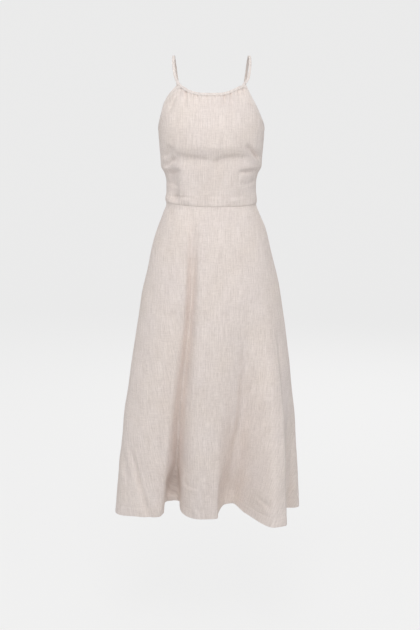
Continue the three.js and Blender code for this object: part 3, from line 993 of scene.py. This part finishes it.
# %% [markdown]
# ## Turned edges
# A raw edge is folded over twice and stitched. A bevelled curve would be round, but seen end on a turned
# edge is a hairpin of cloth over the panel's edge, so a hairpin outline is carried along it. The outside
# may stand off a little, and its last rows press into the panel where the stitches hold them.

# %% Hairpin edges
EDGE_SKIN, EDGE_SLOT = 0.5, 0.45  # cloth of the fold, and half the slot that the panel lies in
EDGE_PRESSED = 0.6  # how far the stitches press its lower half in


def hairpin(depth, radius):
    """Open outline of a fold in down and out: up the outside, over the edge, and down the inside."""
    bend = np.linspace(0, np.pi, 9)
    leg = np.linspace(depth, 0, 9)
    down = np.concatenate([leg, -radius * np.sin(bend[1:-1]), leg[::-1]])
    out = np.concatenate([np.full(9, radius), radius * np.cos(bend[1:-1]), np.full(9, -radius)])
    return down, out


def steepness(turns):
    """How many times longer a step along the upper edge is than the same step measured level."""
    step = np.gradient(cloth_point(turns, top_drop(turns)), axis=0)
    return np.linalg.norm(step, axis=1) / np.linalg.norm(step[:, :2], axis=1)


def fold_edge(node, turns, depth, relief, swell=0.0, pucker=None):
    """Hairpin of cloth round the panel's upper edge, closed by its own inner faces.

    Depth is measured square to the edge, so down the cloth it grows where the edge is steep. swell is how
    far the outside stands off, and pucker multiplies it along the edge.
    """
    outer = hairpin(depth, EDGE_SLOT + EDGE_SKIN)
    inner = hairpin(depth, EDGE_SLOT)
    down, out = (np.concatenate([a, b[::-1]]) for a, b in zip(outer, inner))
    turn = np.broadcast_to(turns[:, None], (len(turns), len(down)))
    drop = top_drop(turns)[:, None] + down * steepness(turns)[:, None]
    hump = np.sin(np.pi * np.clip(down / depth, 0, 1)) ** 0.8
    lift = swell * (1.0 if pucker is None else pucker[:, None]) * hump * np.where(out > 0, 1.0, -0.4)
    lift = lift - EDGE_PRESSED * ease(2 * down / depth - 1) * (out > 0)
    points = lay(turn, drop, relief(turn, drop) + out + lift - LINEN_THICK / 2)
    piece = add_tube(f"{node}_cloth", points, EDGE_LINEN, ends="folded")
    return sew_on(piece, node)


# %% [markdown]
# ## Neck channel
# At the neck the fold is a channel that is drawn up, so it swells, follows the gathers below it and is
# broken into small uneven puckers. A noise texture would give even ones. Waves whose spacing wanders look
# more like cloth pushed along by hand.


# %% Neck channel
def neck_relief(turn, drop):
    """The channel is drawn up with the cloth below it."""
    return gather_relief(cloth_point(turn, drop)[..., 0], np.maximum(drop - top_drop(turn), 0))


def puckers(run):
    """Uneven ruching along the neck: three waves whose spacings wander, between about 0.3 and 1.7."""
    wander = 1.4 * np.sin(run / 21) + 0.8 * np.sin(run / 9.3 + 1)
    wide, fine = np.sin(run / 1.05 + wander), np.sin(run / 0.62 + 2 * wander)
    return 1 + 0.38 * wide + 0.24 * fine + 0.12 * np.sin(run / 2.9)


neck_turns = even_turns(-SEAT_TURN, SEAT_TURN, 420, 95)
neck_run = run_along(cloth_point(neck_turns, top_drop(neck_turns)))
neck_casing = fold_edge("neck_casing", neck_turns, CASING_DEPTH, neck_relief, 0.16, puckers(neck_run))
print("neck edge measures", neck_run[-1].round(0), "mm")

# %% [markdown]
# ## Armhole and back edges
# The armholes and the low back have the same turned edge without the drawing up. It lies flat, so it needs
# no relief of its own. The armhole's edge starts inside the corner where the strap is sewn in.

# %% Armhole and back edges
SIDES = (("right", 1), ("left", -1))
BINDING_DEPTH, EDGE_SWELL = 7, 0.2


def no_relief(turn, drop):
    """Flat cloth: nowhere moved."""
    return np.zeros(np.shape(drop))


for side, sign in SIDES:
    armhole = np.sort(sign * np.linspace(SEAT_TURN - 1.4, SIDE + 0.1, 160))
    back = np.sort((CENTRE_BACK - sign * np.linspace(0.1, 180 - SIDE, 180)) % 360)
    for name, turns in ((f"armhole_edge_{side}", armhole), (f"back_edge_{side}", back)):
        fold_edge(name, turns, BINDING_DEPTH, no_relief, EDGE_SWELL)

# %% [markdown]
# ## Straps
# Each strap is a narrow tube of linen, turned through and pressed, that is sewn inside the corner of the
# neck, rises to its top, goes down behind and ends inside the back. A curve with a bevel would make a round
# cord, so a flattened section is carried along the route. It lies level where the strap is highest.

# %% Strap routes
STRAP_WIDE, STRAP_THICK = 6.6, 2.0
STRAP_RISE = {  # middle line from above the corner of the neck to the top
    "right": [(91, -49, -62), (96.3, -40, -42), (98.2, -23, -17), (97, 0, -1.3)],
    "left": [(-88.4, -50, -61), (-93.4, -40, -42), (-96.2, -23, -17), (-96, 0, -1.3)],
}
STRAP_FALL = [  # and from the top to above the back's edge, on the +X side
    (95, 30, -11), (90, 57, -52), (82, 75, -112), (75, 81.2, -160), (71.5, 81.6, -192),
]
STRAP_FRONT = {  # turn, distance below the edge and distance out, from inside the channel to its corner
    "right": [(31.5, 4.5, -0.6), (34, 3.2, 0.9), (37.5, 0.8, 0.8), (40.2, -4.5, 0.2)],
    "left": [(-27.5, 4.5, -0.6), (-30.5, 3.0, 1.0), (-35.5, 1.2, 1.0), (-39.4, -3.5, 0.4)],
}
STRAP_BACK = [(150, 1, -2.4), (150, 8, -2.6)]  # the same behind, on the +X side


def flattened(count, wide, thick, power=2.7):
    """Outline of a pressed tube, in width and thickness: a superellipse of the given power."""
    angle = np.linspace(0, 2 * np.pi, count, endpoint=False)
    return wide / 2 * rounded(np.cos(angle), 2 / power), thick / 2 * rounded(np.sin(angle), 2 / power)


def carry(path, face, wide, thick):
    """Carries an outline along a path. Its flat side looks along `face`, made square to the path."""
    ahead = unit(np.gradient(path, axis=0))
    face = unit(face - ahead * (face * ahead).sum(axis=1, keepdims=True))
    across = np.cross(ahead, face)
    return path[:, None] + across[:, None] * wide[..., None] + face[:, None] * thick[..., None]


def on_edge(places):
    """Points beside the upper edge, from turns, distances below it and distances out."""
    turn, below, out = np.array(places, float).T
    return lay(turn, top_drop(turn) + below, out)


def strap_path(side, sign):
    """Middle line of a strap, from inside the neck's channel to inside the back."""
    fall = np.array(STRAP_FALL) * [sign, 1, 1]
    back = np.array(STRAP_BACK) * [sign, 1, 1]
    route = np.concatenate([on_edge(STRAP_FRONT[side]), STRAP_RISE[side], fall, on_edge(back)])
    return smooth_route(route, 320)


def strap_face(path, sign):
    """Where the flat side looks: out of the bodice low down, and upwards in the last 80 mm below the top."""
    height = (path[:, 2:] + 80) / 80
    forward = unit(level_out(cloth_point, np.array(sign * 38.0), np.array(78.0)) + [0, 0, 0.3])
    low = np.where(path[:, 1:2] < 0, forward, [0, 1.0, 0])
    return low * ease(1 - height) + np.array([0, 0, 1.0]) * ease(height + 0.1)


# %% Straps
for side, sign in SIDES:
    path = strap_path(side, sign)
    wide, thick = flattened(24, STRAP_WIDE, STRAP_THICK)
    share = np.linspace(0, 1, len(path))[:, None]
    uneven = 1 + 0.05 * np.sin(share * 61 + sign) + 0.03 * np.sin(share * 137)
    points = carry(path, strap_face(path, sign), wide * uneven, thick * (2 - uneven))
    strap = add_tube(f"strap_{side}_cloth", points, EDGE_LINEN)
    sew_on(strap, f"strap_{side}")
    print("strap length:", run_along(path)[-1].round(0), "mm")

# %% [markdown]
# ## Zip
# The back closes with a zip set behind the two panels' edges, so outside only the slider and its pull are
# seen, and inside the tape with its coil. The tape is a strip laid behind the panels, of a finer and more
# even weave than the linen, with a low ridge where its two halves meet.

# %% Zip tape
TAPE = woven(
    "zip_tape_weave", (0.56, 0.50, 0.45, 1), (0.80, 0.75, 0.70, 1), thread=0.6, streaks=0.35, sheen=0.05,
)
TAPE_HALF_TURN, TAPE_COLUMNS = 4.6, 25  # degrees to each side of the centre back
TAPE_START, TAPE_END, TAPE_BEHIND = 2, 566, 3.4  # below the edge, drop, and how far behind the cloth's face

across = np.linspace(CENTRE_BACK - TAPE_HALF_TURN, CENTRE_BACK + TAPE_HALF_TURN, TAPE_COLUMNS)
turn, share = np.meshgrid(across, np.linspace(0, 1, 120))
high = top_drop(turn) + TAPE_START
drop = high + (TAPE_END - high) * share
points = lay(turn, drop, 0.25 * bell(turn - CENTRE_BACK, 1.2) - TAPE_BEHIND)
zip_tape = add_panel("zip_tape_cloth", points, grain(points, drop, TAPE_COLUMNS // 2), TAPE)
sew_on(zip_tape, "zip_tape")

# %% [markdown]
# ## Zip coil
# The coil is one nylon thread wound in a flattened helix and sewn to the tape. A screw modifier would need
# its own axis, while a helix is a path worked out by a formula, so a small outline is carried along it.

# %% Zip coil
COIL_PITCH, COIL_WIDE, COIL_TALL, COIL_THREAD = 1.3, 1.5, 0.75, 0.3
COIL_BEHIND, COIL_SHORT = 5.0, 10  # behind the cloth's face, and how much shorter than the tape at each end

high, low = top_drop(CENTRE_BACK) + COIL_SHORT, TAPE_END - COIL_SHORT
wound = np.linspace(0, 2 * np.pi * (low - high) / COIL_PITCH, int(10 * (low - high) / COIL_PITCH))
drop = high + COIL_PITCH * wound / (2 * np.pi)
middle = lay(np.full_like(drop, CENTRE_BACK), drop, np.full_like(drop, -COIL_BEHIND))
spoke = np.stack([np.sin(wound), np.cos(wound), np.zeros_like(wound)], axis=-1)
path = middle + spoke * [COIL_WIDE, COIL_TALL, 0]
wide, thick = flattened(6, COIL_THREAD * 2, COIL_THREAD * 2, 2.0)
coil = add_tube("zip_coil", carry(path, spoke, wide[None], thick[None]), TAPE)
sew_on(coil, None)

# %% [markdown]
# ## Lacquered metal
# The slider and the pull are small castings lacquered to match the cloth. Lacquer over cast metal is smooth
# but not even, so one fine noise makes its colour, its gloss and its faint dents go together.

# %% Lacquered metal
METAL, tree, shader = new_material("lacquered_zip_metal")
speckle = node(tree, "ShaderNodeTexNoise", Scale=900.0, Detail=3.0)
tree.links.new(node(tree, "ShaderNodeTexCoord").outputs["Object"], speckle.inputs["Vector"])
grains = speckle.outputs["Fac"]
lacquer = mix_colours(tree, grains, (0.62, 0.56, 0.50, 1), (0.72, 0.66, 0.60, 1))
tree.links.new(lacquer, shader.inputs["Base Color"])
roughen(tree, shader, grains, 0.28, 0.46)
raise_bumps(tree, shader, grains, 0.08, 0.0002)
set_inputs(shader, Metallic=0.35)
print("metal finish:", METAL.name)

# %% [markdown]
# ## Slider and bridge
# The slider is a plate with rounded edges and a bent bar over it that holds the pull. A bevelled cube would
# stay boxy, so the plate is a pillow on a tapered outline, and the bar is an outline carried over an arch.

# %% Slider and bridge
HINGE = np.array(frame["joints"][0]["pos_m"]) / MM
PLATE_HALF_TALL, PLATE_HALF_WIDE, PLATE_TAPER, PLATE_THICK = 5.4, 3.0, 0.5, 2.4
PLATE_ROUND = 0.9  # how far its faces draw in towards the middle
BRIDGE_RADIUS, BRIDGE_STAND = 1.95, 1.1


def slider_plate():
    """Pillow on a tapered round outline: rings shrink towards the middle of each face."""
    angle = np.linspace(0, 2 * np.pi, 48, endpoint=False)
    tall = rounded(np.sin(angle), 0.85)
    wide = (PLATE_HALF_WIDE + PLATE_TAPER * tall) * rounded(np.cos(angle), 0.8)
    bend = np.linspace(-np.pi / 2, np.pi / 2, 9)[:, None]
    shrink = 1 - PLATE_ROUND * (1 - np.cos(bend)) / 3.2
    x = wide * shrink
    z = HINGE[2] + PLATE_HALF_TALL * tall * shrink
    y = HINGE[1] - BRIDGE_STAND - PLATE_THICK / 2 + PLATE_THICK / 2 * np.sin(bend)
    return np.stack([x, np.broadcast_to(y, x.shape), z], axis=-1)


def slider_bridge():
    """Bent bar over the pull's axis: straight legs from the plate and a half circle between them."""
    bend = np.linspace(0, np.pi, 17)
    y = np.concatenate([[-2.0, -1.0], BRIDGE_RADIUS * np.sin(bend), [-1.0, -2.0]])
    z = np.concatenate([[BRIDGE_RADIUS] * 2, BRIDGE_RADIUS * np.cos(bend), [-BRIDGE_RADIUS] * 2])
    path = HINGE + np.stack([np.zeros(len(y)), y, z], axis=-1)
    wide, thick = flattened(16, 2.6, 1.1, 3.2)
    return carry(path, unit(path - HINGE), wide[None], thick[None])


slider = add_tube("zip_slider_plate", slider_plate(), METAL)
sew_on(slider, "zip_slider")
bridge = add_tube("zip_slider_bridge", slider_bridge(), METAL)
sew_on(bridge, None)

# %% [markdown]
# ## Pull tab
# The pull is a thin plate with a round end and an eye that turns on the slider's bridge. A boolean would
# cut the eye, but its edges would stay sharp, so the plate is a ring: it goes from the eye to the rim and
# back on its other face, and its corners are eased by the rows between.

# %% Pull tab
PULL_LONG, PULL_HALF, PULL_NECK, PULL_TOP, PULL_THICK = 22, 3.25, 2.6, 0.65, 1.0
EYE_MIDDLE, EYE_HALF = -2.1, (1.7, 1.45)


def pull_rings():
    """Plate with an eye, as a ring of sections that go from the eye's rim to the plate's rim and back.

    The plate's outline is sampled evenly, and each of its points goes with the eye's point at the same
    angle. The eye is a superellipse, of radius (|cos/a|^4 + |sin/b|^4)^(-1/4).
    """
    foot = -PULL_LONG + PULL_HALF
    bend = np.linspace(0, -np.pi, 33)
    x = np.concatenate([[0, PULL_NECK - 0.5, PULL_NECK - 0.1, PULL_NECK], PULL_HALF * np.cos(bend)])
    z = np.concatenate([[PULL_TOP, PULL_TOP, 0.5, 0.1], foot + PULL_HALF * np.sin(bend)])
    x, z = np.concatenate([x, -x[3:0:-1], [0]]), np.concatenate([z, z[3:0:-1], [PULL_TOP]])
    run = np.concatenate([[0], np.cumsum(np.hypot(np.diff(x), np.diff(z)))])
    even = np.linspace(0, run[-1], 120, endpoint=False)
    rim = np.stack([np.interp(even, run, x), np.interp(even, run, z)], axis=-1)
    angle = np.arctan2(rim[:, 1] - EYE_MIDDLE, rim[:, 0])
    reach = ((np.cos(angle) / EYE_HALF[0]) ** 4 + (np.sin(angle) / EYE_HALF[1]) ** 4) ** -0.25
    eye = np.stack([reach * np.cos(angle), EYE_MIDDLE + reach * np.sin(angle)], axis=-1)
    long = np.linalg.norm(rim - eye, axis=1)[:, None]
    none = np.zeros_like(long)
    inwards = [none, none, none + 0.25, long / 2, long - 0.3, long]
    away = np.concatenate([*inwards, *inwards[:0:-1]], axis=1)
    half = PULL_THICK / 2
    height = np.array([0, 0.5, 1, 1, 1, 0.4, -0.4, -1, -1, -1, -0.5]) * half
    flat = eye[:, None] + (rim - eye)[:, None] * (away / long)[..., None]
    return np.stack([flat[..., 0], np.broadcast_to(height, away.shape), flat[..., 1]], axis=-1) + HINGE


pull = add_tube("zip_pull_tab", pull_rings(), METAL, ends="joined")
sew_on(pull, "zip_pull", body="pull_tab")

# %% [markdown]
# ## Stitches
# Topstitching holds the turned edges and the zip. A texture could draw it, but a stitch is a small raised
# loop that catches the light, so one stitch of twenty faces is repeated along each line and joined.

# %% Topstitching
THREAD = woven("sewing_thread", (0.66, 0.58, 0.53, 1), (0.95, 0.87, 0.83, 1), thread=0.3, streaks=0.5)
STITCH_LONG, STITCH_EVERY, STITCH_RADIUS = 1.9, 2.6, 0.24


def stitch_places(turn, drop, out):
    """Middles of the stitches along a line, with the directions ahead and out."""
    line = lay(turn, drop, out)
    run = run_along(line)
    at = np.arange(STITCH_EVERY, run[-1] - STITCH_EVERY, STITCH_EVERY)

    def at_stitches(vectors):
        return np.stack([np.interp(at, run, part) for part in vectors.T], axis=-1)

    ahead, face = np.gradient(line, run, axis=0), level_out(cloth_point, turn, drop)
    return at_stitches(line), unit(at_stitches(ahead)), unit(at_stitches(face))


def edge_line(turns, depth):
    """Line of stitches square to the upper edge by a depth."""
    return turns, top_drop(turns) + depth * steepness(turns)


def sew_stitches(name, lines):
    """One mesh of all the stitches: four rings of six points each, narrow at the ends, and two caps."""
    middle, ahead, face = (np.concatenate(part)[:, None, None] for part in zip(*lines))
    across = np.cross(ahead, face)
    along, size = np.array([-0.5, -0.25, 0.25, 0.5]), np.array([0.45, 1, 1, 0.45])
    angle = np.linspace(0, 2 * np.pi, 6, endpoint=False)
    wide = STITCH_RADIUS * size[:, None, None] * np.cos(angle)[:, None]
    tall = STITCH_RADIUS * size[:, None, None] * np.sin(angle)[:, None]
    points = middle + ahead * STITCH_LONG * along[:, None, None] + across * wide + face * tall
    quads = grid_quads(4, 6, wrap=True)
    caps = np.stack([np.arange(6), 18 + np.arange(6)[::-1]])
    shift = 24 * np.arange(len(points))[:, None, None]
    faces = (quads + shift).reshape(-1, 4).tolist() + (caps + shift).reshape(-1, 6).tolist()
    uv = np.stack([0.25 * MM * np.tile(np.arange(6), 4), 0.6 * MM * np.repeat(np.arange(4), 6)], axis=-1)
    corner_uv = np.concatenate([np.tile(uv[part.ravel()], (len(points), 1)) for part in (quads, caps)])
    print(name, "has", len(points), "stitches")
    return sew_on(add_mesh(name, points, faces, corner_uv, THREAD), None)


# %% Lines of stitches
STITCHED = [  # first turn, last turn, distance below the edge
    (-37, 37, CASING_DEPTH - 1), (43, 89.5, 5.8), (-89.5, -43, 5.8), (90.5, 179.4, 5.8), (180.6, 269.5, 5.8),
]
ZIP_STITCHED = [225, 378, TAPE_END], [3.6, 4.2, 3.0]  # drops, and degrees beside the centre back
skin = EDGE_SLOT + EDGE_SKIN - LINEN_THICK / 2 - 0.3
lines = []
for start, end, deep in STITCHED:
    turn, drop = edge_line(np.linspace(start, end, 600), deep)
    out = skin + (neck_relief(turn, drop) if abs(start) < NECK_END else 0)
    lines.append(stitch_places(turn, drop, out + np.zeros_like(turn)))
for side in (-1, 1):
    drop = np.linspace(ZIP_STITCHED[0][0], TAPE_END, 900)
    turn = CENTRE_BACK + side * np.interp(drop, *ZIP_STITCHED)
    above_waist = waist_drop(turn) - drop
    shape = np.where(above_waist > 0, back_relief(turn, drop), skirt_relief(turn, drop, SKIRT_BACK_CREASES))
    lines.append(stitch_places(turn, drop, shape + 0.1))
topstitching = sew_stitches("topstitching", lines)

# %% [markdown]
# ## Cloth as it was cut
# Each panel's UV map keeps, in metres, the size that it was cut to. The narrow strips and the thread
# move with the dress, as the panels do.

# %% Sheets
print("panels keep their cut sizes in their UV maps")

# %% [markdown]
# ## Studio
# Pale linen shows best in an even, pale studio, where its shade comes from its folds alone. A floor and a
# wall would show a line between them, so one wide bowl with a round bend serves as both, from every side.
# It glows a little, and casts no light of its own on the cloth.

# %% Studio
scene = bpy.context.scene
FLOOR, WALL_AT, WALL_TOP, BEND = -1.56, 7.5, 7.0, 2.0  # metres
STUDIO_TINT = (0.953, 0.977, 1.0)  # daylight tubes, a little cool


def studio_bowl():
    """Surface of revolution in metres: a flat floor, a round bend and an upright wall."""
    bend = np.linspace(0, np.pi / 2, 13)
    radius = np.concatenate([[0.02, 2.0, 4.5], WALL_AT - BEND + BEND * np.sin(bend), [WALL_AT]])
    height = np.concatenate([np.full(3, FLOOR), FLOOR + BEND - BEND * np.cos(bend), [WALL_TOP]])
    angle = np.linspace(0, 2 * np.pi, 96, endpoint=False)
    x, y = radius[:, None] * np.cos(angle), radius[:, None] * np.sin(angle)
    return np.stack([x, y, np.broadcast_to(height[:, None], x.shape)], axis=-1)


STUDIO, tree, shader = new_material("studio_white")
set_inputs(shader, Base_Color=(0.17, 0.165, 0.16, 1), Roughness=1.0, Specular_IOR_Level=0.0)
set_inputs(shader, Emission_Color=(1, 1, 1, 1), Emission_Strength=0.72)
bowl = add_tube("studio_bowl", studio_bowl() / MM, STUDIO)
bowl.visible_diffuse = bowl.visible_glossy = bowl.visible_shadow = False

world = bpy.data.worlds.new("studio_air")
world.use_nodes = True
set_inputs(world.node_tree.nodes["Background"], Color=(*STUDIO_TINT, 1), Strength=0.61)
scene.world = world
scene.view_settings.view_transform = "Standard"
print("studio bowl", 2 * WALL_AT, "m across")

# %% [markdown]
# ## Lights
# Four large soft lights stand in front, the strongest high above and the left one stronger than the right,
# and one behind keeps the back from going dull. With the pale air of the world they leave only soft shade
# in the folds. All of them look at the middle of the dress.

# %% Lights
AIM = (0, 0, -0.5)
SOFTBOXES = [  # name, place, width, power
    ("front", (0.1, -2.4, 0.4), 1.2, 9),
    ("above", (0.0, -2.6, 2.6), 1.6, 38),
    ("right", (2.2, -3.2, 1.0), 1.6, 10),
    ("left", (-2.2, -3.2, 1.0), 1.6, 18),
    ("behind", (0.8, 3.4, 1.2), 1.6, 45),
]

for name, place, size, power in SOFTBOXES:
    light = bpy.data.lights.new(name, "AREA")
    light.shape, light.size, light.energy = "SQUARE", size, power
    light.color = STUDIO_TINT
    lamp = bpy.data.objects.new(name, light)
    lamp.location = place
    lamp.rotation_mode = "QUATERNION"
    lamp.rotation_quaternion = (Vector(AIM) - Vector(place)).to_track_quat("-Z", "Y")
    scene.collection.objects.link(lamp)
print(len(SOFTBOXES), "soft lights")

# %% [markdown]
# ## Camera
# The camera stands straight in front at about the height of the neck, and is tipped down by ten degrees. A
# longer lens flattens the skirt and a shorter one widens the hem, so lens and distance were found together.

# %% Camera
TIPPED_DOWN = 10  # degrees
camera = bpy.data.objects.new("camera", bpy.data.cameras.new("camera"))
camera.location = (-0.0034, -3.2, -0.107)
camera.rotation_euler = (np.radians(90 - TIPPED_DOWN), 0, 0)
camera.data.lens, camera.data.sensor_width = 70.3, 36
scene.collection.objects.link(camera)
scene.camera = camera
print("camera", tuple(camera.location))
